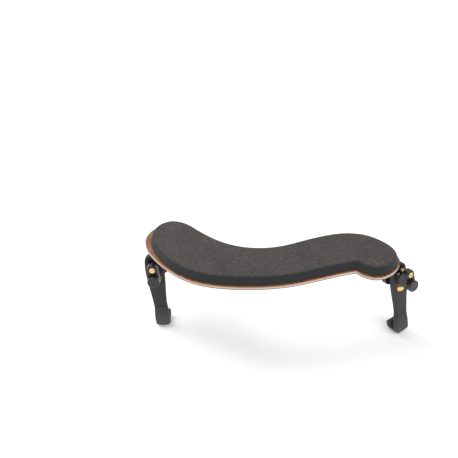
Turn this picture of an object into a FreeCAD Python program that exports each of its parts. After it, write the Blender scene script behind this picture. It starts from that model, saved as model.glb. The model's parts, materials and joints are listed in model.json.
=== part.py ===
import FreeCAD, Part
import math
import os

# Violin shoulder rest: a bent plywood plate with a foam pad, standing on two folding legs.
# X runs along the plate, Y towards the player's back edge, Z up.  The origin is on the
# ground, under the middle of the whole object.  Lengths are in millimetres.

os.makedirs("parts", exist_ok=True)
Vector = FreeCAD.Vector
UP = Vector(0, 0, 1)
SAME = 0.01                  # places nearer than this are the same

# ---- plate -------------------------------------------------------------------------
plate_height = 85.0          # ground to the lowest point of the plate's underside
plate_shift_y = -3.6         # sets the plate over the soles
left_bend_x = -60.0          # the ends are straight outside these two stations
right_bend_x = 50.0
left_rise_deg = 1.5          # slope of each straight end
right_rise_deg = 2.5
bottom_veneer_thick = 0.8
core_thick = 1.8
top_veneer_thick = 0.8

# Plan outline: the front edge from the notch round the left lobe to the back kink, and
# the back edge from the kink round the right lobe to the notch.
front_edge = [(59.5, -9.5), (41, -13.5), (27, -17.5), (0, -24.3), (-28, -26.8), (-54, -26),
              (-80, -19.8), (-102, -4.3), (-114.5, 10.5), (-120.5, 27), (-115, 41.5),
              (-100, 48.8), (-86, 46.6), (-75.5, 39.4)]
back_edge = [(-75.5, 39.4), (-65.5, 31.3), (-52, 22.8), (-38, 17.8), (-19, 16), (0, 19.2),
             (14.5, 24.3), (29, 29), (44, 32.4), (58, 32.8), (72, 29.5), (85.5, 21),
             (94.5, 10.5), (97.2, 1), (94.5, -7), (87, -14.5), (77, -18.3), (67, -15.7),
             (59.5, -9.5)]

# ---- foam pad ----------------------------------------------------------------------
pad_thick = 8.0
pad_rim = 1.1                # plate left showing round the pad
pad_end_rim = 3.2            # extra rim at the tip of the left lobe
pad_end_start_x = -100.0     # the extra rim grows from this station
pad_end_run = 20.0           # and is whole this much further out

# ---- slots and clamp bolts -----------------------------------------------------------
slide_travel = 6.0           # each way
bolt_radius = 2.0
bolt_head_radius = 3.5
bolt_head_height = 3.0
bolt_head_chamfer = 0.4
bolt_socket_radius = 1.6     # across the hexagon's corners
bolt_socket_depth = 1.8
bolt_running_clearance = 0.1
bolt_washer_radius = 4.2
bolt_washer_thick = 0.6
nut_length = 9.0
nut_width = 8.0
slot_side_clearance = 0.2
nut_side_clearance = 0.2
nut_top_clearance = 0.1

# ---- bracket -----------------------------------------------------------------------
stud_drop = 26.3             # plate underside to the stud's axis at the leg's face
arm_back = 9.0               # bolt behind the leg's outer face
arm_side = 15.0              # bolt beside the stud
flange_thick = 4.0
flange_gap = 0.15            # swivel gap under the plate
flange_radius = 7.5          # round the bolt
post_flange_radius = 5.5     # over the post
boss_radius = 7.0
boss_lug = 4.5               # the boss is drawn out this far towards the bolt
post_thick = 4.8
arch_radius = 5.0
post_top_radius = 5.2
post_sweep = 4.5             # the post's top is drawn this far towards the bolt
post_set_back = 13.5         # the post's top behind the leg's outer face
arch_half_thick = 2.5
arch_overlap = 0.8           # the arch starts inside the post
recess_clearance = 0.3       # round screw heads and the stud's head
stud_lean_deg = 11.0         # the stud points this much upwards

# ---- leg ---------------------------------------------------------------------------
leg_thick = 5.0
leg_top_half_width = 7.4
leg_ankle_half_width = 5.8
leg_above_wheel = 26.0
leg_crown = 5.0              # rise of the rounded top
leg_bow = 0.8                # the sides swell by this beside the wheel
leg_taper = 0.3              # and are in by this below it
ankle_height = 24.0          # above the sole
window_half_width = 3.9
window_wheel_gap = 0.35
stud_height_min = 7.4        # stud axis above the wheel's centre
stud_height_max = 15.0

# ---- stud, slider and carrier ---------------------------------------------------------
stud_radius = 2.0
stud_head_radius = 3.6
stud_head_thick = 1.6
running_clearance = 0.05     # radial, shafts that turn in holes
slider_half_width = 3.7
slider_half_height = 4.2
slider_flange_radius = 5.0
slider_flange_thick = 1.15
slider_leg_gap = 0.25        # flange to the back of the leg
boss_gap = 0.1               # friction washer to the slider
spindle_seat_wall = 0.3      # steel left between the spindle's end and the stud's bore
slider_key_depth = 2.0       # how far the slider enters the carrier block
block_gap = 2.2              # leg's face to the block
block_depth = 11.0
block_head_depth = 5.0       # outer part of full height; behind it the block tapers
block_low_radius = 5.4
block_top_radius = 4.8
block_top_height = 10.1
block_neck_height = 2.6      # the taper's small end reaches this far above the stud
block_neck_radius = 5.1
block_rim_fillet = 0.8
hull_taper = 0.01            # a near-even hull still needs unlike radii
knob_radius = 5.4
knob_thick = 3.4
knob_chamfer = 0.5
knob_cap_thick = 0.8         # the knob's face over the stud's end
knob_insert_short = 1.2      # the insert ends this far behind the knob's face
knob_insert_radius = 3.2
stud_end_set_back = 1.0      # the stud ends this far behind the knob's face
knob_gap = 0.15              # washer to the block
washer_thick = 0.4
washer_set_in = 0.6          # the knob's washer is this much smaller than the knob
lock_screw_height = 10.6     # above the stud
lock_screw_radius = 1.5
lock_screw_head_radius = 2.5
lock_screw_head_thick = 1.9
lock_screw_head_sunk = 1.35  # part of the head inside its recess
screw_head_clearance = 0.1   # round and under the lock screw's head
lock_screw_slot_depth = 0.8
lock_screw_slot_half_width = 0.4
shoe_half_width = 4.7
shoe_half_height = 1.9
shoe_thick = 1.5
shoe_gap = 0.2               # shoe to the block
shoe_tip_gap = 0.1           # shoe to the screw's tip

# ---- height spindle and wheel ----------------------------------------------------------
spindle_radius = 1.2
spindle_length = 17.3        # below the slider
wheel_radius = 4.4
wheel_thick = 4.0
wheel_grooves = 20
wheel_groove_radius = 0.35
run_out_clearance = 0.6      # below the spindle's lowest end
run_out_side_clearance = 0.25

# ---- claw --------------------------------------------------------------------------
claw_throat_radius = 2.5     # takes the violin's edge
claw_core_thick = 1.8
claw_rubber = 1.2
claw_half_width = 6.6
claw_heel_radius = 3.5       # rounds the heel below the outer face
claw_corner = 6.0            # height of the boot's rounded lower corners
claw_corner_set_in = 2.0     # the corners are in by this at claw_corner_low
claw_corner_low = 1.4
tongue_half_width = 4.2
claw_sole_sink = 0.7         # depth of the flat worn on each sole
claw_tip_rise = 2.2          # the hook's tip above the throat's centre
claw_tongue_set_in = 0.6     # the tongue's inner face in from the strip's

# ---- how the legs are set --------------------------------------------------------------
# Per side: direction along X, the bolt's place on the plate, the bracket's hand, swivel
# about the bolt and tilt about the stud.  The right leg's stud height is set; the left
# leg's follows, so that both soles meet the ground.
right_stud_height = 10.2
SIDES = {
    "left": dict(out=-1, bolt=(-97.9, 27.8), hand=-1, swivel=90.0, tilt=7.0),
    "right": dict(out=1, bolt=(84.3, 7.8), hand=1, swivel=-54.5, tilt=0.5),
}

beyond = 200.0               # tools for cutting reach past everything
plate_thick = bottom_veneer_thick + core_thick + top_veneer_thick
bend_angle_sum = math.sin(math.radians(left_rise_deg)) + math.sin(math.radians(right_rise_deg))
bend_radius = (right_bend_x - left_bend_x) / bend_angle_sum
bend_centre_x = left_bend_x + bend_radius * math.sin(math.radians(left_rise_deg))


def cylinder(radius, start, end):
    """Round bar between two points."""
    start = Vector(*start)
    axis = Vector(*end) - start
    return Part.makeCylinder(radius, axis.Length, start, axis)


def block(low, high):
    """Box between two corners."""
    size = Vector(*high) - Vector(*low)
    return Part.makeBox(size.x, size.y, size.z, Vector(*low))


def hull(first, first_radius, second, second_radius):
    """Flat face round two circles and their outer tangents, in the XY plane."""
    ax, ay = first
    bx, by = second
    span = math.hypot(bx - ax, by - ay)
    heading = math.atan2(by - ay, bx - ax)
    spread = math.acos((first_radius - second_radius) / span)

    def rim(centre, radius, angle):
        return Vector(centre[0] + radius * math.cos(angle), centre[1] + radius * math.sin(angle), 0)

    first_rim = [rim(first, first_radius, heading + a) for a in (spread, math.pi, -spread)]
    second_rim = [rim(second, second_radius, heading + a) for a in (-spread, 0, spread)]
    edges = [
        Part.Arc(*first_rim).toShape(),
        Part.makeLine(first_rim[2], second_rim[0]),
        Part.Arc(*second_rim).toShape(),
        Part.makeLine(second_rim[2], first_rim[0]),
    ]
    return Part.Face(Part.Wire(edges))


def smooth(points):
    """Edge of one spline through points."""
    curve = Part.BSplineCurve()
    curve.interpolate([Vector(*point) for point in points])
    return curve.toShape()


# ---- the bent plate ------------------------------------------------------------------

def underside_height(x):
    """Height of the plate's underside above the ground at station x."""
    left, right = math.radians(left_rise_deg), math.radians(right_rise_deg)
    if x < left_bend_x:
        run = left_bend_x - x
        return plate_height + bend_radius * (1 - math.cos(left)) + run * math.tan(left)
    if x > right_bend_x:
        run = x - right_bend_x
        return plate_height + bend_radius * (1 - math.cos(right)) + run * math.tan(right)
    return plate_height + bend_radius - math.sqrt(bend_radius ** 2 - (x - bend_centre_x) ** 2)


def layer_edge(offset):
    """Side-view line of a layer, offset upwards from the underside: line, arc, line."""
    left, right = math.radians(left_rise_deg), math.radians(right_rise_deg)
    centre = Vector(bend_centre_x, 0, plate_height + bend_radius)
    radius = bend_radius - offset

    def on_arc(angle):
        return centre + Vector(radius * math.sin(angle), 0, -radius * math.cos(angle))

    start, middle, end = on_arc(-left), on_arc((right - left) / 2), on_arc(right)
    far_left = start + Vector(-math.cos(left), 0, math.sin(left)) * beyond
    far_right = end + Vector(math.cos(right), 0, math.sin(right)) * beyond
    arc = Part.Arc(start, middle, end).toShape()
    return far_left, far_right, [Part.makeLine(far_left, start), arc, Part.makeLine(end, far_right)]


def layer(low, high):
    """Wide bent sheet between two offsets from the underside."""
    low_left, low_right, low_edges = layer_edge(low)
    high_left, high_right, high_edges = layer_edge(high)
    wire = Part.Wire(low_edges + [Part.makeLine(low_right, high_right)] + high_edges[::-1]
                     + [Part.makeLine(high_left, low_left)])
    face = Part.Face(wire)
    face.translate(Vector(0, -beyond, 0))
    return face.extrude(Vector(0, 2 * beyond, 0))


def inset_points(points, inset, end_inset):
    """The outline's points moved inwards, more so at the tip of the left lobe."""
    edge = smooth([(x, y, 0) for x, y in points])
    moved = []
    for x, y in points:
        parameter = edge.Curve.parameter(Vector(x, y, 0))
        tangent = edge.tangentAt(parameter)
        extra = end_inset * min(1.0, max(0.0, (pad_end_start_x - x) / pad_end_run))
        moved.append(Vector(x, y, 0) + Vector(-tangent.y, tangent.x, 0) * -(inset + extra))
    return moved


def outline(inset, end_inset, height):
    """Closed plan outline of the plate, or of the pad when inset."""
    front = inset_points(front_edge, inset, end_inset)
    back = inset_points(back_edge, inset, end_inset)
    notch = (front[0] + back[-1]) / 2
    kink = (front[-1] + back[0]) / 2
    front[0] = back[-1] = notch
    front[-1] = back[0] = kink
    wires = []
    for run in (front, back):
        wires.append(smooth([(p.x, p.y + plate_shift_y, height) for p in run]))
    return Part.Wire(wires)


def end_placement(side):
    """Frame on the plate's underside at a bolt: X outwards along the slope, Z out of the plate."""
    x, y = side["bolt"]
    rise = math.radians(left_rise_deg if side["out"] < 0 else right_rise_deg)
    across = Vector(side["out"] * math.cos(rise), 0, math.sin(rise))
    normal = Vector(-side["out"] * math.sin(rise), 0, math.cos(rise))
    sideways = normal.cross(across)
    origin = Vector(x, y + plate_shift_y, underside_height(x))
    matrix = FreeCAD.Matrix(across.x, sideways.x, normal.x, origin.x,
                            across.y, sideways.y, normal.y, origin.y,
                            across.z, sideways.z, normal.z, origin.z,
                            0, 0, 0, 1)
    return FreeCAD.Placement(matrix)


def bracket_placement(side):
    """The end frame turned by the leg's swivel."""
    turn = FreeCAD.Placement(Vector(0, 0, 0), FreeCAD.Rotation(UP, side["swivel"]))
    return end_placement(side) * turn


def stud_placement(side):
    """Frame at the stud: X out along the stud, Z up in the plane of the leg."""
    centre = Vector(arm_back, side["hand"] * arm_side, -stud_drop)
    lean = FreeCAD.Rotation(Vector(0, 1, 0), -stud_lean_deg)
    return bracket_placement(side) * FreeCAD.Placement(centre, lean)


def carrier_placement(side):
    """The stud's frame turned by the leg's tilt."""
    turn = FreeCAD.Rotation(Vector(1, 0, 0), side["tilt"])
    return stud_placement(side) * FreeCAD.Placement(Vector(0, 0, 0), turn)


def stud_to_ground(side):
    """Distance down the leg from its stud to the sole, with the sole sunk for its flat."""
    frame = carrier_placement(side)
    over_throat = frame.multVec(Vector(throat_x, 0, 0)).z
    rise = frame.Rotation.multVec(UP).z
    return (over_throat + claw_sole_sink - claw_outer_radius) / rise + claw_outer_radius


core_outer_x = -claw_rubber
core_inner_x = -leg_thick + claw_tongue_set_in
throat_x = core_inner_x - claw_rubber - claw_throat_radius
claw_outer_radius = claw_throat_radius + claw_core_thick + 2 * claw_rubber
leg_below_wheel = stud_to_ground(SIDES["right"]) - right_stud_height


def stud_height(side):
    """Height of the stud's axis above the wheel's centre."""
    return stud_to_ground(side) - leg_below_wheel


def leg_placement(side):
    """The carrier's frame moved down to the wheel's centre."""
    return carrier_placement(side) * FreeCAD.Placement(Vector(0, 0, -stud_height(side)), FreeCAD.Rotation())


def placed(shape, placement):
    """Copy of a shape moved from its own frame to the object's."""
    moved = shape.copy()
    moved.Placement = placement * moved.Placement
    return moved


plate_prism = Part.Face(outline(0, 0, 0)).extrude(Vector(0, 0, beyond))
nut_room = nut_length / 2 + slide_travel + nut_side_clearance
pocket_half_width = nut_width / 2 + nut_side_clearance
slot_half_width = bolt_radius + slot_side_clearance

core_ply = layer(bottom_veneer_thick, bottom_veneer_thick + core_thick).common(plate_prism)
bottom_veneer = layer(0, bottom_veneer_thick).common(plate_prism)
top_veneer = layer(bottom_veneer_thick + core_thick, plate_thick).common(plate_prism)
for side in SIDES.values():
    low, high = -plate_thick, 2 * plate_thick
    pocket = block((-nut_room, -pocket_half_width, low), (nut_room, pocket_half_width, high))
    core_ply = core_ply.cut(placed(pocket, end_placement(side)))
    slot = block((-slide_travel, -slot_half_width, low), (slide_travel, slot_half_width, high))
    for end in (-slide_travel, slide_travel):
        slot = slot.fuse(cylinder(slot_half_width, (end, 0, low), (end, 0, high)))
    bottom_veneer = bottom_veneer.cut(placed(slot, end_placement(side)))

pad_prism = Part.Face(outline(pad_rim, pad_end_rim, 0)).extrude(Vector(0, 0, beyond))
foam_pad = layer(plate_thick, plate_thick + pad_thick).common(pad_prism)

pieces = {
    "bottom_veneer": bottom_veneer,
    "core_ply": core_ply,
    "top_veneer": top_veneer,
    "foam_pad": foam_pad,
}


# ---- pieces of one leg, each in its own frame ---------------------------------------------

def slot_nut():
    """Flat steel nut that slides in the core's pocket."""
    low = bottom_veneer_thick + nut_top_clearance / 2
    high = bottom_veneer_thick + core_thick - nut_top_clearance / 2
    body = block((-nut_length / 2, -nut_width / 2, low), (nut_length / 2, nut_width / 2, high))
    return body.cut(cylinder(bolt_radius, (0, 0, 0), (0, 0, plate_thick)))


bolt_seat = -flange_gap - flange_thick
bolt_head_top = bolt_seat - bolt_washer_thick


def clamp_bolt():
    """Socket-head bolt from below, up into the slot nut."""
    tip = bottom_veneer_thick + core_thick - nut_top_clearance
    head_end = bolt_head_top - bolt_head_height
    shank = cylinder(bolt_radius, (0, 0, bolt_head_top), (0, 0, tip))
    head = cylinder(bolt_head_radius, (0, 0, head_end), (0, 0, bolt_head_top))
    rim = [edge for edge in head.Edges if abs(edge.CenterOfMass.z - head_end) < SAME]
    head = head.makeChamfer(bolt_head_chamfer, rim)
    corners = []
    for k in range(7):
        angle = math.radians(60 * k)
        across, sideways = bolt_socket_radius * math.cos(angle), bolt_socket_radius * math.sin(angle)
        corners.append(Vector(across, sideways, head_end))
    socket = Part.Face(Part.makePolygon(corners)).extrude(Vector(0, 0, bolt_socket_depth))
    return shank.fuse(head).removeSplitter().cut(socket)


def ring(radius, bore, start, end):
    """Washer between two points."""
    return cylinder(radius, start, end).cut(cylinder(bore, start, end))


def bolt_washer():
    """Steel washer between the bolt's head and the bracket."""
    bore = bolt_radius + bolt_running_clearance
    return ring(bolt_washer_radius, bore, (0, 0, bolt_head_top), (0, 0, bolt_seat))


slider_back = -leg_thick - slider_leg_gap - slider_flange_thick
bracket_front = slider_back - washer_thick - boss_gap
post_back = bracket_front - post_thick


def to_stud(shape, hand):
    """Move a shape from the stud's frame to the bracket's."""
    centre = Vector(arm_back, hand * arm_side, -stud_drop)
    return placed(shape, FreeCAD.Placement(centre, FreeCAD.Rotation(Vector(0, 1, 0), -stud_lean_deg)))


def upright(face, x):
    """Stand a face drawn in (sideways, up) across the stud's axis."""
    turn = FreeCAD.Rotation(Vector(0, 1, 0), UP, Vector(1, 0, 0), "ZXY")
    return placed(face, FreeCAD.Placement(Vector(x, 0, 0), turn))


def stand_up(face, start, end):
    """Extrude a face drawn in (sideways, up) along the stud's axis."""
    return upright(face, start).extrude(Vector(end - start, 0, 0))


def bracket(hand):
    """Moulded bracket: a flange under the plate, a post and the stud's boss."""
    boss_face = hull((0, 0), boss_radius, (-hand * boss_lug, 0), boss_radius - hull_taper)
    boss = stand_up(boss_face, post_back, bracket_front)
    post_top = (-hand * post_sweep, stud_drop)
    post_face = hull((0, 0), boss_radius, post_top, post_top_radius)
    post = stand_up(post_face, post_back, bracket_front)
    solid = to_stud(boss.fuse(post), hand)

    over_post = (arm_back - post_set_back, hand * (arm_side - post_sweep))
    flange_face = hull((0, 0), flange_radius, over_post, post_flange_radius)
    flange_face.translate(Vector(0, 0, bolt_seat))
    solid = solid.fuse(flange_face.extrude(Vector(0, 0, flange_thick)))

    arch_y = post_sweep + post_top_radius - arch_overlap
    arch_low, arch_high = sorted((-hand * arch_y, -hand * (arch_y + arch_radius)))
    arch_back, arch_front = -post_set_back - arch_half_thick, -post_set_back + arch_half_thick
    arch = block((arch_back, arch_low, -arch_radius), (arch_front, arch_high, 0))
    curve_y = -hand * (arch_y + arch_radius)
    curve = cylinder(arch_radius, (-beyond, curve_y, -arch_radius), (beyond, curve_y, -arch_radius))
    arch = arch.cut(curve)
    arch.translate(Vector(arm_back, hand * arm_side, bolt_seat))
    solid = solid.fuse(arch)

    above = block((-beyond, -beyond, -flange_gap), (beyond, beyond, beyond))
    in_front = to_stud(block((bracket_front, -beyond, -beyond), (beyond, beyond, beyond)), hand)
    head_room = cylinder(bolt_washer_radius + recess_clearance, (0, 0, -beyond), (0, 0, bolt_seat))
    bolt_bore = cylinder(bolt_radius + running_clearance, (0, 0, -beyond), (0, 0, beyond))
    stud_bore = to_stud(cylinder(stud_radius, (-beyond, 0, 0), (beyond, 0, 0)), hand)
    head_room_radius = stud_head_radius + recess_clearance
    head_bore = to_stud(cylinder(head_room_radius, (-beyond, 0, 0), (post_back, 0, 0)), hand)
    for tool in (above, in_front, head_room, bolt_bore, stud_bore, head_bore):
        solid = solid.cut(tool)
    return solid


block_face = block_gap + block_depth
knob_back = block_face + washer_thick + knob_gap
knob_front = knob_back + knob_thick


def pivot_stud():
    """Headed steel stud, pressed through the bracket, that the leg turns on."""
    shank = cylinder(stud_radius, (post_back, 0, 0), (knob_front - stud_end_set_back, 0, 0))
    head = cylinder(stud_head_radius, (post_back - stud_head_thick, 0, 0), (post_back, 0, 0))
    return shank.fuse(head).removeSplitter()


def friction_washer():
    """Thin washer on the bracket's boss."""
    front = bracket_front + washer_thick
    return ring(slider_flange_radius, stud_radius + running_clearance, (bracket_front, 0, 0), (front, 0, 0))


def slider():
    """Steel slider: flange behind the leg and a square neck through its window."""
    flange_front = slider_back + slider_flange_thick
    flange = cylinder(slider_flange_radius, (slider_back, 0, 0), (flange_front, 0, 0))
    neck = block((slider_back, -slider_half_width, -slider_half_height),
                 (block_gap + slider_key_depth, slider_half_width, slider_half_height))
    bore = cylinder(stud_radius + running_clearance, (-beyond, 0, 0), (beyond, 0, 0))
    return flange.fuse(neck).removeSplitter().cut(bore).cut(height_spindle())


def height_spindle():
    """Brass spindle pressed into the slider's underside."""
    middle = -leg_thick / 2
    low, high = -slider_half_height - spindle_length, -stud_radius - spindle_seat_wall
    return cylinder(spindle_radius, (middle, 0, low), (middle, 0, high))


screw_seat = block_face - lock_screw_head_sunk - screw_head_clearance


def carrier_block():
    """Moulded block on the slider's neck, outside the leg; it tapers down towards the leg."""
    head_back = block_face - block_head_depth
    head_face = hull((0, 0), block_low_radius, (0, block_top_height), block_top_radius)
    neck_face = hull((0, 0), block_low_radius, (0, block_neck_height), block_neck_radius)
    head = stand_up(head_face, head_back, block_face)
    rim = [edge for edge in head.Edges if abs(edge.CenterOfMass.x - block_face) < SAME]
    head = head.makeFillet(block_rim_fillet, rim)
    neck_wire = upright(neck_face, block_gap).OuterWire
    head_wire = upright(head_face, head_back).OuterWire
    solid = head.fuse(Part.makeLoft([neck_wire, head_wire], True, True)).removeSplitter()
    key = block((0, -slider_half_width, -slider_half_height),
                (block_gap + slider_key_depth, slider_half_width, slider_half_height))
    z = lock_screw_height
    bore = cylinder(stud_radius + running_clearance, (0, 0, 0), (beyond, 0, 0))
    screw_bore = cylinder(lock_screw_radius + running_clearance, (0, 0, z), (beyond, 0, z))
    recess = cylinder(lock_screw_head_radius + screw_head_clearance, (screw_seat, 0, z), (beyond, 0, z))
    return solid.cut(key).cut(bore).cut(screw_bore).cut(recess)


def lock_shoe():
    """Steel shoe between the lock screw's tip and the leg."""
    front = block_gap - shoe_gap
    low, high = lock_screw_height - shoe_half_height, lock_screw_height + shoe_half_height
    return block((front - shoe_thick, -shoe_half_width, low), (front, shoe_half_width, high))


def lock_screw():
    """Slotted brass screw whose tip bears on the shoe."""
    z = lock_screw_height
    head_back = block_face - lock_screw_head_sunk
    head_front = head_back + lock_screw_head_thick
    shank = cylinder(lock_screw_radius, (block_gap - shoe_gap + shoe_tip_gap, 0, z), (head_back, 0, z))
    head = cylinder(lock_screw_head_radius, (head_back, 0, z), (head_front, 0, z))
    slot = block((head_front - lock_screw_slot_depth, -beyond, z - lock_screw_slot_half_width),
                 (head_front + SAME, beyond, z + lock_screw_slot_half_width))
    return shank.fuse(head).removeSplitter().cut(slot)


def knob_washer():
    """Washer between the block and the knob."""
    bore = stud_radius + running_clearance
    return ring(knob_radius - washer_set_in, bore, (knob_back - washer_thick, 0, 0), (knob_back, 0, 0))


insert_front = knob_front - knob_insert_short


def knob_insert():
    """Brass nut moulded into the knob."""
    bore = stud_radius + running_clearance
    return ring(knob_insert_radius, bore, (knob_back, 0, 0), (insert_front, 0, 0))


def knob():
    """Round clamping knob that closes over the stud's end."""
    solid = cylinder(knob_radius, (knob_back, 0, 0), (knob_front, 0, 0))
    rim = [edge for edge in solid.Edges if abs(edge.CenterOfMass.x - knob_front) < SAME]
    solid = solid.makeChamfer(knob_chamfer, rim)
    solid = solid.cut(cylinder(knob_insert_radius, (knob_back, 0, 0), (insert_front, 0, 0)))
    bore_end = knob_front - knob_cap_thick
    return solid.cut(cylinder(stud_radius + running_clearance, (knob_back, 0, 0), (bore_end, 0, 0)))


def height_wheel():
    """Knurled brass wheel, captive in the leg, that drives it along the spindle."""
    middle = -leg_thick / 2
    solid = cylinder(wheel_radius, (middle, 0, -wheel_thick / 2), (middle, 0, wheel_thick / 2))
    for k in range(wheel_grooves):
        angle = 2 * math.pi * k / wheel_grooves
        x = middle + wheel_radius * math.cos(angle)
        y = wheel_radius * math.sin(angle)
        solid = solid.cut(cylinder(wheel_groove_radius, (x, y, -wheel_thick), (x, y, wheel_thick)))
    bore = spindle_radius + running_clearance
    return solid.cut(cylinder(bore, (middle, 0, -wheel_thick), (middle, 0, wheel_thick)))


sole_z = -leg_below_wheel
ankle_z = sole_z + ankle_height
window_top = stud_height_max + slider_half_height + window_wheel_gap
throat_z = sole_z + claw_outer_radius


def strip_face():
    """Front view of the leg's strip, in (sideways, up)."""
    w, n = leg_top_half_width, leg_ankle_half_width
    shoulder = leg_above_wheel - leg_crown
    side = [(w, shoulder), (w + leg_bow, 5), (w - leg_taper, -10), (n, ankle_z)]
    right_side = smooth([(y, z, 0) for y, z in side])
    left_side = smooth([(-y, z, 0) for y, z in reversed(side)])
    crown = Part.Arc(Vector(-w, shoulder, 0), Vector(0, leg_above_wheel, 0), Vector(w, shoulder, 0))
    foot = Part.makeLine(Vector(n, ankle_z, 0), Vector(-n, ankle_z, 0))
    return Part.Face(Part.Wire([right_side, foot, left_side, crown.toShape()]))


def claw_profile(grow):
    """Side view of the claw's hook, in (out, up): a J grown outwards by a wall."""
    inner = claw_throat_radius + claw_rubber - grow
    outer = claw_throat_radius + claw_rubber + claw_core_thick + grow
    tip_z = throat_z + claw_tip_rise
    out_x, in_x, far_x = core_outer_x + grow, throat_x + inner, throat_x - outer
    tip_top = Vector((far_x + throat_x - inner) / 2, 0, tip_z + (outer - inner) / 2)
    low_z = throat_z - outer
    heel_radius = claw_heel_radius + grow
    heel_x, heel_z = out_x - heel_radius, low_z + heel_radius
    bulge = math.sqrt(0.5)
    heel_middle = Vector(heel_x + bulge * heel_radius, 0, heel_z - bulge * heel_radius)
    toe_middle = Vector(throat_x - bulge * outer, 0, throat_z - bulge * outer)
    points = [
        Part.makeLine(Vector(out_x, 0, ankle_z), Vector(out_x, 0, heel_z)),
        Part.Arc(Vector(out_x, 0, heel_z), heel_middle, Vector(heel_x, 0, low_z)).toShape(),
        Part.makeLine(Vector(heel_x, 0, low_z), Vector(throat_x, 0, low_z)),
        Part.Arc(Vector(throat_x, 0, low_z), toe_middle, Vector(far_x, 0, throat_z)).toShape(),
        Part.makeLine(Vector(far_x, 0, throat_z), Vector(far_x, 0, tip_z)),
        Part.Arc(Vector(far_x, 0, tip_z), tip_top, Vector(throat_x - inner, 0, tip_z)).toShape(),
        Part.makeLine(Vector(throat_x - inner, 0, tip_z), Vector(throat_x - inner, 0, throat_z)),
        Part.Arc(Vector(throat_x - inner, 0, throat_z), Vector(throat_x, 0, throat_z - inner),
                 Vector(in_x, 0, throat_z)).toShape(),
        Part.makeLine(Vector(in_x, 0, throat_z), Vector(in_x, 0, ankle_z)),
        Part.makeLine(Vector(in_x, 0, ankle_z), Vector(out_x, 0, ankle_z)),
    ]
    return Part.Face(Part.Wire(points))


def claw_solid(grow, half_width):
    """The hook's profile as a bar of the given width."""
    face = claw_profile(grow)
    face.translate(Vector(0, -half_width, 0))
    return face.extrude(Vector(0, 2 * half_width, 0))


def leg_core():
    """Moulded leg: windowed strip with the claw's hooked tongue below."""
    strip = stand_up(strip_face(), -leg_thick, 0)
    tongue = claw_solid(0, tongue_half_width)
    solid = strip.fuse(tongue).removeSplitter()
    pocket_half = wheel_thick / 2 + window_wheel_gap
    window = block((-beyond, -window_half_width, 0), (beyond, window_half_width, window_top))
    pocket_half_width = wheel_radius + window_wheel_gap
    pocket = block((-beyond, -pocket_half_width, -pocket_half), (beyond, pocket_half_width, pocket_half))
    middle = -leg_thick / 2
    run_out = stud_height_min - slider_half_height - spindle_length - run_out_clearance
    bore = cylinder(spindle_radius + run_out_side_clearance, (middle, 0, run_out), (middle, 0, 0))
    return solid.cut(window).cut(pocket).cut(bore)


def boot_front():
    """Front view of the claw's rubber boot, in (sideways, up)."""
    w, n = claw_half_width, leg_ankle_half_width
    top = ankle_z
    corner_z, low_z = sole_z + claw_corner, sole_z + claw_corner_low
    side = [(n, top, 0), (n + 0.2, top - 4, 0), (w, top - 11, 0), (w, corner_z, 0)]
    right_side = smooth(side)
    left_side = smooth([(-x, z, 0) for x, z, _ in reversed(side)])
    bottom = smooth([(w, corner_z, 0), (w - claw_corner_set_in, low_z, 0), (0, sole_z - SAME, 0),
                     (claw_corner_set_in - w, low_z, 0), (-w, corner_z, 0)])
    lid = Part.makeLine(Vector(-n, top, 0), Vector(n, top, 0))
    return Part.Face(Part.Wire([right_side, bottom, left_side, lid]))


def claw_boot():
    """Rubber boot moulded over the hooked tongue."""
    solid = claw_solid(claw_rubber, claw_half_width + 1).common(stand_up(boot_front(), -beyond, beyond))
    return solid.cut(claw_solid(0, tongue_half_width))


ground = block((-beyond, -beyond, -beyond), (beyond, beyond, 0))

for name, side in SIDES.items():
    hand = side["hand"]
    end = end_placement(side)
    turned = bracket_placement(side)
    stud = stud_placement(side)
    carrier = carrier_placement(side)
    leg = leg_placement(side)
    pieces[name + "_slot_nut"] = placed(slot_nut(), end)
    pieces[name + "_clamp_bolt"] = placed(clamp_bolt(), end)
    pieces[name + "_bolt_washer"] = placed(bolt_washer(), end)
    pieces[name + "_bracket"] = placed(bracket(hand), turned)
    pieces[name + "_pivot_stud"] = placed(pivot_stud(), stud)
    pieces[name + "_friction_washer"] = placed(friction_washer(), stud)
    pieces[name + "_slider"] = placed(slider(), carrier)
    pieces[name + "_height_spindle"] = placed(height_spindle(), carrier)
    pieces[name + "_carrier_block"] = placed(carrier_block(), carrier)
    pieces[name + "_lock_shoe"] = placed(lock_shoe(), carrier)
    pieces[name + "_lock_screw"] = placed(lock_screw(), carrier)
    pieces[name + "_knob_washer"] = placed(knob_washer(), stud)
    pieces[name + "_knob_insert"] = placed(knob_insert(), stud)
    pieces[name + "_knob"] = placed(knob(), stud)
    pieces[name + "_height_wheel"] = placed(height_wheel(), leg)
    pieces[name + "_leg_core"] = placed(leg_core(), leg)
    pieces[name + "_claw_boot"] = placed(claw_boot(), leg).cut(ground)

# The origin is under the middle of the whole object's box.
whole = Part.makeCompound(list(pieces.values())).optimalBoundingBox(False, False)
to_origin = Vector(-whole.Center.x, -whole.Center.y, 0)
for name, shape in pieces.items():
    shape.translate(to_origin)
    shape.exportStep("parts/" + name + ".step")
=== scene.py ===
import json
import math

import bmesh
import bpy
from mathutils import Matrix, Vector, noise


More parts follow.
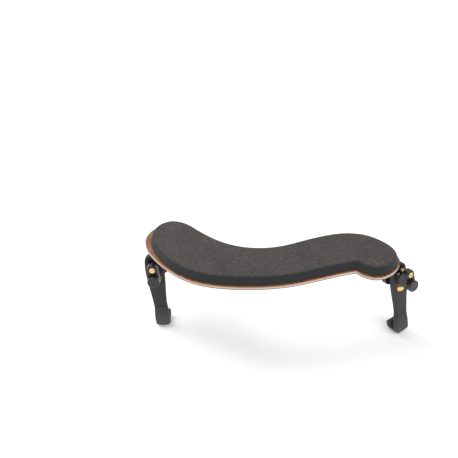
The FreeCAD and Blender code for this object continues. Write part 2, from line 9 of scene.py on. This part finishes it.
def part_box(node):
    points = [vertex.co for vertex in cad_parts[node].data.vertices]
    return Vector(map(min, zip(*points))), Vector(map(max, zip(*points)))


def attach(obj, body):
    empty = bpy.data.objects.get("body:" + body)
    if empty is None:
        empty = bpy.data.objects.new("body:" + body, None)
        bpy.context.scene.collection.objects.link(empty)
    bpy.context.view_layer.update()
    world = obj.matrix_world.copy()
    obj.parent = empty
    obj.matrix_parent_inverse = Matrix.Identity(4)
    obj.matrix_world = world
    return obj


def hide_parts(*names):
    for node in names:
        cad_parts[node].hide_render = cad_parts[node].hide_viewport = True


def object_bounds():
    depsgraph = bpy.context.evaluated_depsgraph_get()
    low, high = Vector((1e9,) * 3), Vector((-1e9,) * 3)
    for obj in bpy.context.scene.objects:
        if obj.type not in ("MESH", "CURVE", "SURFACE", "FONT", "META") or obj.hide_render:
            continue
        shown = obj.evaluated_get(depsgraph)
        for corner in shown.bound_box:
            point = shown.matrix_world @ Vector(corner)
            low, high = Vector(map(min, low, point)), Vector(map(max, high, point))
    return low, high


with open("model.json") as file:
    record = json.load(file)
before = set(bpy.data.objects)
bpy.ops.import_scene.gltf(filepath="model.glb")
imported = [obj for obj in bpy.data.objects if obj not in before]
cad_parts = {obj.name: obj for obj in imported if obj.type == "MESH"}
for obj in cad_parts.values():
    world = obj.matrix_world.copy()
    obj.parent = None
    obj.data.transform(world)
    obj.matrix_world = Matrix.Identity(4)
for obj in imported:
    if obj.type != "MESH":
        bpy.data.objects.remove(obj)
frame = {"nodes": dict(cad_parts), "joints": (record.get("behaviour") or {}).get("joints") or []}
cad_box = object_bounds()

# ---- the plate's three plies ----
# The plate is moulded plywood: a pale core between a dark veneer below and a figured one on
# top, pressed to a shallow bend.  The top is stained amber and varnished, and it shows as a
# thin rim round the pad; the sawn edge shows the core's own layers and glue lines.

MM = 0.001
LEFT, RIGHT = "left_", "right_"
bend_left_x, bend_right_x = -57.6 * MM, 52.4 * MM      # between them the plate is bent
left_slope, right_slope = math.radians(1.5), math.radians(2.5)
bend_radius = (bend_right_x - bend_left_x) / (math.sin(left_slope) + math.sin(right_slope))
curl_spacing = 4.6 * MM
bend_low_x = bend_left_x + bend_radius * math.sin(left_slope)
plate_low_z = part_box("bottom_veneer")[0].z


class Field:
    """A socket whose value varies over a surface.  Sums on it add Math nodes."""

    def __init__(self, tree, socket):
        self.tree = tree
        self.socket = socket

    def node(self, kind, settings, inputs, output=0):
        """Add any node, with its settings and then its sockets, and return one output."""
        made = self.tree.nodes.new("ShaderNode" + kind)
        for name, value in settings.items():
            setattr(made, name, value)
        for name, value in inputs.items():
            if isinstance(value, Field):
                self.tree.links.new(value.socket, made.inputs[name])
            else:
                made.inputs[name].default_value = value
        return Field(self.tree, made.outputs[output])

    def feeds(self, name):
        """Link to one of the surface shader's own sockets."""
        self.tree.links.new(self.socket, self.tree.nodes["Principled BSDF"].inputs[name])

    def maths(self, operation, *values):
        return self.node("Math", {"operation": operation}, dict(enumerate(values)))

    def __add__(self, other):
        return self.maths("ADD", self, other)

    def __sub__(self, other):
        return self.maths("SUBTRACT", self, other)

    def __rsub__(self, other):
        return self.maths("SUBTRACT", other, self)

    def __mul__(self, other):
        return self.maths("MULTIPLY", self, other)

    def __truediv__(self, other):
        return self.maths("DIVIDE", self, other)

    def __abs__(self):
        return self.maths("ABSOLUTE", self)

    __radd__ = __add__
    __rmul__ = __mul__

    def kept(self, low, high):
        """Nothing below low and nothing above high."""
        return self.maths("MINIMUM", self.maths("MAXIMUM", self, low), high)

    def between(self, low, high):
        """0 at low, 1 at high, clamped outside."""
        return ((self - low) / (high - low)).kept(0.0, 1.0)


def finish(name, **constants):
    """New material with the shader's constants set, and the surface's place in metres."""
    material = bpy.data.materials.new(name)
    material.use_nodes = True
    shader = material.node_tree.nodes["Principled BSDF"]
    for key, value in constants.items():
        shader.inputs[key.replace("_", " ").title().replace("Ior", "IOR")].default_value = value
    start = Field(material.node_tree, shader.inputs["Base Color"])
    return material, start.node("TexCoord", {}, {}, "Object")


def speckle(place, size, detail=2.0, roughness=0.5):
    """Soft noise whose lumps are about this size."""
    inputs = {"Vector": place, "Scale": 1 / size, "Detail": detail, "Roughness": roughness}
    return place.node("TexNoise", {}, inputs)


def cells(place, size):
    """Distance to the nearest of many scattered points, in cells."""
    return place.node("TexVoronoi", {}, {"Vector": place, "Scale": 1 / size})


def stretched(place, x, y, z):
    """Place scaled by axis, so that a texture on it is drawn out along the small ones."""
    return place.node("VectorMath", {"operation": "MULTIPLY"}, {0: place, 1: (x, y, z)})


def tinted(amount, low, high):
    """From one colour to another."""
    inputs = {0: amount, 6: (*low, 1.0), 7: (*high, 1.0)}
    return amount.node("Mix", {"data_type": "RGBA"}, inputs, 2)


def embossed(height, depth, strength=1.0):
    """Fine relief of this depth in metres."""
    height.node("Bump", {}, {"Height": height, "Distance": depth, "Strength": strength}).feeds("Normal")


def axis_of(place, letter):
    return place.node("SeparateXYZ", {}, {"Vector": place}, letter)


def height_on_plate(place):
    """Height above the bent plate's underside."""
    off = axis_of(place, "X") - bend_low_x
    left, right = bend_left_x - bend_low_x, bend_right_x - bend_low_x
    bent = off.kept(left, right)
    rise = bent * bent / (2 * bend_radius)
    rise = rise + (left - off).kept(0.0, 1.0) * math.tan(left_slope)
    rise = rise + (off - right).kept(0.0, 1.0) * math.tan(right_slope)
    return axis_of(place, "Z") - plate_low_z - rise


def figured_veneer(name, pale, dark, **constants):
    """Curly veneer: fine grain along the plate, crossed by soft bands of figure."""
    material, place = finish(name, **constants)
    grain = speckle(stretched(place, 0.12, 1.0, 1.0), 0.9 * MM, 4.0, 0.65)
    curl_line = axis_of(place, "X") + 0.35 * axis_of(place, "Y") + 16 * MM * speckle(place, 11 * MM)
    curl = curl_line.maths("SINE", curl_line * (2 * math.pi / curl_spacing))
    strength = speckle(place, 14 * MM).between(0.42, 0.68)
    figure = 0.42 + 0.34 * curl * strength + 0.7 * (grain - 0.5) + 0.6 * (speckle(place, 12 * MM) - 0.5)
    tinted(figure.kept(0.0, 1.0), dark, pale).feeds("Base Color")
    (0.22 + 0.16 * speckle(place, 3 * MM)).feeds("Roughness")
    embossed(grain, 0.02 * MM, 0.4)
    return material


def ply_edge():
    """Pale birch edge with thin glue lines that follow the bend."""
    material, place = finish("ply_edge", Specular_Ior_Level=0.4)
    height = height_on_plate(place) / (0.6 * MM)
    layer = height.maths("FRACT", height)
    glue = abs(layer - 0.5).between(0.40, 0.5)
    fibre = speckle(stretched(place, 0.15, 0.15, 1.0), 0.35 * MM, 4.0, 0.7)
    wood = tinted(fibre.between(0.3, 0.75), (0.42, 0.29, 0.235), (0.74, 0.58, 0.50))
    edge = glue.node("Mix", {"data_type": "RGBA"}, {0: glue * 0.6, 6: wood, 7: (0.20, 0.11, 0.08, 1.0)}, 2)
    edge.feeds("Base Color")
    (0.42 + 0.2 * fibre).feeds("Roughness")
    embossed(fibre - 0.5 * glue, 0.05 * MM, 0.6)
    return material


def dress(node, material):
    """Give a node that keeps its own shape a better material."""
    for material_slot in frame["nodes"][node].material_slots:
        material_slot.material = material


amber = figured_veneer("varnished_veneer", (0.36, 0.125, 0.024), (0.075, 0.024, 0.009),
                       Coat_Weight=1.0, Coat_Roughness=0.08, Specular_Ior_Level=0.5)
walnut = figured_veneer("dark_veneer", (0.135, 0.066, 0.042), (0.045, 0.022, 0.015),
                        Coat_Weight=0.5, Coat_Roughness=0.2, Specular_Ior_Level=0.4)
dress("top_veneer", amber)
dress("core_ply", ply_edge())
dress("bottom_veneer", walnut)

# ---- foam pad ----
# A slab of fine-pored rubber foam, cut to the plate's outline a little inside its rim and
# glued to it.  The knife leaves the wall smooth and leaning in; the top keeps the open
# pores, with a crisp edge line and faint ripples.

pad_thick = 8.5 * MM
top_veneer_thick = 0.8 * MM
pad_lean = 2.6 * MM           # the top's edge lies this far inside the wall's foot
pad_edge_drop = 0.5 * MM      # the wall ends this far below the top
pad_edge_round = 0.5 * MM
pad_voxel = 0.75 * MM
pad_step = 1.4 * MM           # spacing of the points round the outline
pad_ripple = 0.10 * MM
pad_ripple_sizes = 9 * MM, 4 * MM
pad_ripple_reach = 1.5 * MM   # the ripples fade out this far below the top


def plate_rise(x):
    """Height of the bend at station x above the plate's lowest line."""
    off = x - bend_low_x
    left, right = bend_left_x - bend_low_x, bend_right_x - bend_low_x
    bent = min(max(off, left), right)
    beyond = max(left - off, 0) * math.tan(left_slope) + max(off - right, 0) * math.tan(right_slope)
    return bent ** 2 / (2 * bend_radius) + beyond


def foot_outline(node):
    """Points round the foot of a slab, in order."""
    mesh = bmesh.new()
    mesh.from_mesh(frame["nodes"][node].data)
    bmesh.ops.remove_doubles(mesh, verts=mesh.verts, dist=0.001 * MM)
    follows = {}
    for edge in mesh.edges:
        ups = sorted(face.normal.z for face in edge.link_faces)
        if len(ups) == 2 and ups[0] < -0.7 and abs(ups[1]) < 0.5:
            for one, other in (edge.verts, reversed(edge.verts)):
                follows.setdefault(one.index, []).append(other)
    here = next(vert for vert in mesh.verts if vert.index in follows)
    first, before, points = here, None, []
    while not points or here is not first:
        points.append(here.co.copy())
        ahead = [vert for vert in follows[here.index] if vert is not before]
        before, here = here, ahead[0]
    mesh.free()
    return points


def evenly(points, step):
    """The closed outline again, with points a step apart."""
    closed = points + points[:1]
    lengths = [0.0]
    for one, other in zip(closed, closed[1:]):
        lengths.append(lengths[-1] + (other - one).length)
    count = round(lengths[-1] / step)
    spaced, k = [], 0
    for n in range(count):
        along = lengths[-1] * n / count
        while lengths[k + 1] < along:
            k += 1
        part = (along - lengths[k]) / (lengths[k + 1] - lengths[k])
        spaced.append(closed[k].lerp(closed[k + 1], part))
    return spaced


def drawn_in(points, distance):
    """The outline moved inwards."""
    area = sum(a.x * b.y - b.x * a.y for a, b in zip(points, points[1:] + points[:1]))
    turn = math.copysign(1.0, area)
    moved = []
    for k, point in enumerate(points):
        along = (points[(k + 1) % len(points)] - points[k - 1]).normalized()
        moved.append(point + Vector((-along.y, along.x, 0)) * turn * distance)
    return moved


def new_piece(name, mesh):
    piece = bpy.data.objects.new(name, mesh)
    bpy.context.scene.collection.objects.link(piece)
    return piece


def skinned(piece, voxel, passes):
    """Remesh evenly and soften the edges by so many passes."""
    skin = piece.modifiers.new("skin", "REMESH")
    skin.mode = "VOXEL"
    skin.voxel_size = voxel
    soften = piece.modifiers.new("soften", "SMOOTH")
    soften.factor = 0.5
    soften.iterations = passes
    bpy.context.view_layer.update()
    done = bpy.data.meshes.new_from_object(piece.evaluated_get(bpy.context.evaluated_depsgraph_get()))
    piece.modifiers.clear()
    piece.data = done
    for polygon in done.polygons:
        polygon.use_smooth = True


def foam():
    """Dark foam: open pores and paler cell walls, with painted light and shade by facing: the top is
    painted paler and the smoother wall darker and bluish.
    """
    material, place = finish("pad_foam", Specular_Ior_Level=0.12, Sheen_Weight=0.12, Sheen_Roughness=0.6)
    pores = cells(place, 0.85 * MM)
    fine = speckle(place, 0.5 * MM, 3.0, 0.7)
    flecks = speckle(place, 1.1 * MM, 1.0).between(0.58, 0.74)
    faint = speckle(place, 22 * MM, 2.0)
    upward = axis_of(place.node("TexCoord", {}, {}, "Normal"), "Z").between(0.45, 0.8)
    open_cell = (0.55 * pores + 0.75 * fine + 0.45 * flecks + 0.3 * (faint - 0.5)).between(0.35, 1.15)
    # Painted light and shade: the surface facing up gets the paler top colour, and the wall gets a darker,
    # bluish painted shade.
    top = tinted(open_cell, (0.0125, 0.0110, 0.0108), (0.088, 0.076, 0.072))
    wall = tinted(fine, (0.0085, 0.0095, 0.0115), (0.024, 0.0255, 0.0285))
    whole = upward.node("Mix", {"data_type": "RGBA"}, {0: upward, 6: wall, 7: top}, 2)
    whole.feeds("Base Color")
    (0.82 + 0.14 * upward).feeds("Roughness")
    embossed((pores + 0.8 * fine) * (0.35 + 0.65 * upward), 0.16 * MM, 0.8)
    return material


foot = evenly(foot_outline("foam_pad"), pad_step)
pad_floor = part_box("top_veneer")[0].z + top_veneer_thick - plate_low_z
rings = [(0.0, 0.0), (0.55, pad_thick * 0.5), (1.0, pad_thick - pad_edge_drop)]
rings.append((1.0 + pad_edge_round / pad_lean, pad_thick))
mesh = bmesh.new()
before = None
for lean, height in rings:
    ring = [mesh.verts.new((p.x, p.y, pad_floor + height)) for p in drawn_in(foot, lean * pad_lean)]
    if before is None:
        mesh.faces.new(ring[::-1])
    else:
        for k in range(len(ring)):
            n = (k + 1) % len(ring)
            mesh.faces.new((before[k], before[n], ring[n], ring[k]))
    before = ring
mesh.faces.new(before)
bmesh.ops.recalc_face_normals(mesh, faces=mesh.faces)
pad_mesh = bpy.data.meshes.new("foam_slab")
mesh.to_mesh(pad_mesh)
mesh.free()
pad = new_piece("foam_slab", pad_mesh)
skinned(pad, pad_voxel, 2)
pad_top = pad_floor + pad_thick
for vert in pad.data.vertices:
    point = vert.co.copy()
    near_top = max(0.0, min(1.0, (point.z - pad_top + pad_ripple_reach) / pad_ripple_reach))
    lumps = noise.noise(point / pad_ripple_sizes[0]) + 0.5 * noise.noise(point / pad_ripple_sizes[1])
    vert.co.z += near_top * pad_ripple * lumps + plate_low_z + plate_rise(point.x)
pad.data.materials.append(foam())
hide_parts("foam_pad")
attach(pad, "plate")

# ---- slot nuts, clamp bolts and washers ----
# Turned and stamped steel: each bracket hangs from one socket-head bolt, which pulls a flat
# nut up inside the plate's slot.  Fine turning marks, bright but not polished.


def steel(name, along, dull, bright):
    """Steel with fine marks drawn round or along the piece."""
    material, place = finish(name, Metallic=1.0)
    marks = speckle(stretched(place, *along), 0.25 * MM, 3.0, 0.7)
    handling = speckle(place, 4 * MM, 3.0)
    tinted(0.5 * marks + 0.5 * handling, dull, bright).feeds("Base Color")
    (0.18 + 0.2 * marks + 0.12 * handling).feeds("Roughness")
    embossed(marks, 0.01 * MM, 0.5)
    return material


turned_steel = steel("turned_steel", (1.0, 1.0, 0.1), (0.42, 0.42, 0.43), (0.76, 0.76, 0.77))
for hand in (LEFT, RIGHT):
    for node in ("slot_nut", "clamp_bolt", "bolt_washer"):
        dress(hand + node, turned_steel)

# ---- brackets ----
# Glass-filled nylon mouldings, black and slightly shiny, with every edge rounded by the
# mould: a flange under the plate, a post, and the boss that carries the stud.


def moulding(node, name, body, material, voxel, passes, filling=None):
    """The node's own shape with the soft edges of a moulding.  A filling closes a hollow."""
    shape = bmesh.new()
    shape.from_mesh(frame["nodes"][node].data)
    if filling is not None:
        shape.from_mesh(filling)
    bmesh.ops.remove_doubles(shape, verts=shape.verts, dist=0.001 * MM)
    copy = bpy.data.meshes.new(name)
    shape.to_mesh(copy)
    shape.free()
    piece = new_piece(name, copy)
    skinned(piece, voxel, passes)
    piece.data.materials.clear()
    piece.data.materials.append(material)
    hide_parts(node)
    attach(piece, body)
    return piece


def nylon(name, dark, pale, shine, pebble):
    """Moulded nylon: spark-eroded mould texture, and a few scuffs where it is handled."""
    material, place = finish(name, Specular_Ior_Level=0.45)
    texture = cells(place, pebble)
    cloud = speckle(place, 5 * MM, 3.0, 0.6)
    scuff = speckle(stretched(place, 1.0, 0.3, 1.0), 1.2 * MM, 4.0, 0.7).between(0.62, 0.78)
    tinted((0.6 * cloud + 0.5 * scuff).kept(0.0, 1.0), dark, pale).feeds("Base Color")
    (shine + 0.14 * cloud + 0.12 * scuff).feeds("Roughness")
    embossed(texture + 0.4 * cloud, 0.03 * MM, 0.5)
    return material


bracket_nylon = nylon("bracket_nylon", (0.008, 0.008, 0.009), (0.022, 0.022, 0.024),
                      shine=0.20, pebble=0.4 * MM)
for hand in (LEFT, RIGHT):
    moulding(hand + "bracket", hand + "moulded_bracket", hand + "bracket",
             bracket_nylon, voxel=0.35 * MM, passes=4)

# ---- pivot studs, washers and sliders ----
# The leg hangs on a headed steel stud.  A slider with a square neck passes through the
# leg's window, so that the leg can move up and down on it but not turn.

for hand in (LEFT, RIGHT):
    for node in ("pivot_stud", "friction_washer", "slider", "knob_washer"):
        dress(hand + node, turned_steel)

# ---- height spindles ----
# A short brass screw pressed into each slider and hanging down inside the leg, with a
# rolled thread of 0.7 mm lead that the height wheel climbs on.

thread_lead = 0.7 * MM
thread_depth = 0.22 * MM
thread_steps = 8              # rings in one turn
thread_sides = 24


def brass(name, bright, dull, gloss):
    """Turned brass: warm, with polished patches and browned ones scattered by noise."""
    material, place = finish(name, Metallic=1.0)
    cloud = speckle(place, 1.6 * MM, 4.0, 0.65)
    marks = speckle(stretched(place, 1.0, 1.0, 0.2), 0.2 * MM, 2.0)
    tinted((0.7 * cloud + 0.4 * marks).between(0.25, 0.75), dull, bright).feeds("Base Color")
    (gloss + 0.22 * (1 - cloud)).feeds("Roughness")
    embossed(marks, 0.01 * MM, 0.5)
    return material


bright_brass = brass("bright_brass", bright=(0.93, 0.72, 0.34), dull=(0.52, 0.34, 0.12), gloss=0.10)
joints = {joint["name"]: joint for joint in frame["joints"]}
for hand in (LEFT, RIGHT):
    up = Vector(joints[hand + "height_slide"]["axis"]).normalized()
    shank = [vert.co.copy() for vert in frame["nodes"][hand + "height_spindle"].data.vertices]
    middle = sum(shank, Vector()) / len(shank)
    reach = [(point - middle).dot(up) for point in shank]
    radius = max((point - middle - up * (point - middle).dot(up)).length for point in shank)
    side = up.orthogonal().normalized()
    front = up.cross(side)
    mesh = bmesh.new()
    rows = []
    count = round((max(reach) - min(reach)) / (thread_lead / thread_steps))
    for k in range(count + 1):
        z = min(reach) + (max(reach) - min(reach)) * k / count
        row = []
        for n in range(thread_sides):
            angle = 2 * math.pi * n / thread_sides
            crest = 0.5 + 0.5 * math.cos(2 * math.pi * z / thread_lead - angle)
            outward = side * math.cos(angle) + front * math.sin(angle)
            row.append(mesh.verts.new(middle + up * z + outward * (radius - thread_depth * (1 - crest))))
        rows.append(row)
    for low, high in zip(rows, rows[1:]):
        for n in range(thread_sides):
            m = (n + 1) % thread_sides
            mesh.faces.new((low[n], low[m], high[m], high[n]))
    mesh.faces.new(rows[0][::-1])
    mesh.faces.new(rows[-1])
    bmesh.ops.recalc_face_normals(mesh, faces=mesh.faces)
    for face in mesh.faces:
        face.smooth = len(face.verts) == 4
    data = bpy.data.meshes.new(hand + "threaded_spindle")
    mesh.to_mesh(data)
    mesh.free()
    spindle = new_piece(hand + "threaded_spindle", data)
    data.materials.append(bright_brass)
    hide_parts(hand + "height_spindle")
    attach(spindle, hand + "carrier")

# ---- carrier blocks and lock screws ----
# A rounded nylon block clamps each slider from outside.  A slotted brass screw in its head
# presses a blackened steel shoe on the leg and locks the height.

blackened_steel = steel("blackened_steel", (1.0, 0.2, 1.0), (0.018, 0.018, 0.020), (0.060, 0.060, 0.064))
for hand in (LEFT, RIGHT):
    dress(hand + "lock_shoe", blackened_steel)
    moulding(hand + "carrier_block", hand + "moulded_block", hand + "carrier",
             bracket_nylon, voxel=0.3 * MM, passes=3)
    dress(hand + "lock_screw", bright_brass)

# ---- knobs ----
# Round clamping knobs of moulded plastic over a brass insert, satin black with a few scuffs
# from use.

knob_plastic = nylon("knob_plastic", (0.010, 0.010, 0.011), (0.030, 0.031, 0.033),
                     shine=0.26, pebble=0.3 * MM)
for hand in (LEFT, RIGHT):
    moulding(hand + "knob", hand + "moulded_knob", hand + "knob",
             knob_plastic, voxel=0.22 * MM, passes=3)
    dress(hand + "knob_insert", bright_brass)

# ---- height wheels ----
# Knurled brass wheels, captive in a pocket of the leg, which lift it along the spindle.

for hand in (LEFT, RIGHT):
    dress(hand + "height_wheel", bright_brass)

# ---- legs and claws ----
# Each leg is one nylon moulding, a windowed strip with a hooked tongue.  A boot of grey
# rubber is moulded over the hook; it grips the violin's edge and stands on its sole.


boot_palest_below = 7 * MM         # heights above the ground
boot_darkest_above = 24 * MM
boot_least_grey = 0.28


def tongue_under(hand):
    """Mesh of the leg's tongue below the top of its boot."""
    up = Vector(joints[hand + "height_slide"]["axis"]).normalized()
    top = max((vert.co for vert in frame["nodes"][hand + "claw_boot"].data.vertices), key=up.dot)
    shape = bmesh.new()
    shape.from_mesh(frame["nodes"][hand + "leg_core"].data)
    bmesh.ops.remove_doubles(shape, verts=shape.verts, dist=0.001 * MM)
    everything = shape.verts[:] + shape.edges[:] + shape.faces[:]
    bmesh.ops.bisect_plane(shape, geom=everything, plane_co=top, plane_no=up, clear_outer=True)
    bmesh.ops.holes_fill(shape, edges=[edge for edge in shape.edges if edge.is_boundary])
    tongue = bpy.data.meshes.new(hand + "tongue")
    shape.to_mesh(tongue)
    shape.free()
    return tongue


def rubber():
    """Rubber with pale specks and fine pits, greyer the lower it is, most of all near its sole."""
    material, place = finish("claw_rubber", Specular_Ior_Level=0.35)
    cloud = speckle(place, 3.5 * MM, 4.0, 0.7)
    specks = speckle(place, 0.55 * MM, 2.0, 0.6).between(0.52, 0.72)
    pits = cells(place, 1.6 * MM).between(0.0, 0.22)
    grey = (0.45 * cloud + 0.55 * specks) * pits
    # Greyer towards the sole: fully grey below the lower height, least grey above the upper one.
    high_up = axis_of(place, "Z").between(boot_palest_below, boot_darkest_above)
    greying = boot_least_grey + (1 - boot_least_grey) * (1 - high_up)
    tinted((grey * greying).kept(0.0, 1.0), (0.017, 0.0165, 0.018), (0.150, 0.150, 0.160)).feeds("Base Color")
    (0.62 + 0.22 * cloud).feeds("Roughness")
    embossed(0.7 * pits + 0.3 * specks, 0.09 * MM, 0.7)
    return material


leg_nylon = nylon("leg_nylon", (0.010, 0.0095, 0.010), (0.027, 0.0255, 0.027),
                  shine=0.52, pebble=0.5 * MM)
claw_rubber = rubber()
for hand in (LEFT, RIGHT):
    moulding(hand + "leg_core", hand + "moulded_leg", hand + "leg",
             leg_nylon, voxel=0.25 * MM, passes=12)
    moulding(hand + "claw_boot", hand + "rubber_boot", hand + "leg",
             claw_rubber, voxel=0.3 * MM, passes=30, filling=tongue_under(hand))

# ---- floor, light and camera ----
# A white table wide enough to fill the camera's view, lit by a soft room and two large
# diffusers.

floor_mesh = bpy.data.meshes.new("table")
floor_half = 4.0
corners = [(x * floor_half, y * floor_half, 0) for x, y in ((-1, -1), (1, -1), (1, 1), (-1, 1))]
floor_mesh.from_pydata(corners, [], [(0, 1, 2, 3)])
table = new_piece("table", floor_mesh)
paper, paper_place = finish("table_paper", Roughness=0.9, Specular_Ior_Level=0.1)
tinted(speckle(paper_place, 0.05, 2.0), (0.90, 0.90, 0.90), (0.93, 0.93, 0.93)).feeds("Base Color")
floor_mesh.materials.append(paper)

world = bpy.data.worlds.new("room")
world.use_nodes = True
world.node_tree.nodes["Background"].inputs["Color"].default_value = (1.0, 1.0, 1.0, 1.0)
world.node_tree.nodes["Background"].inputs["Strength"].default_value = 0.85
bpy.context.scene.world = world


def diffuser(name, place, aim, size, power):
    """Large soft lamp at a place, aimed at a point."""
    lamp = bpy.data.lights.new(name, "AREA")
    lamp.shape = "DISK"
    lamp.size = size
    lamp.energy = power
    holder = new_piece(name, lamp)
    holder.location = place
    holder.rotation_euler = (Vector(aim) - Vector(place)).to_track_quat("-Z", "Y").to_euler()


object_middle = (cad_box[0] + cad_box[1]) / 2
diffuser("key_diffuser", (-0.5, 0.25, 0.9), object_middle, size=0.6, power=6.0)
diffuser("fill_diffuser", (0.6, -0.5, 0.7), object_middle, size=0.7, power=4.0)

camera_place = Vector((-45.2, -502.4, 565.0)) * MM
camera_pitch = math.radians(48.4)
lens = bpy.data.cameras.new("camera")
lens.sensor_width = 36.0
lens.lens = 63.3
camera = new_piece("camera", lens)
camera.location = camera_place
camera.rotation_euler = (camera_pitch, 0, 0)
bpy.context.scene.camera = camera
bpy.context.scene.view_settings.view_transform = "Standard"
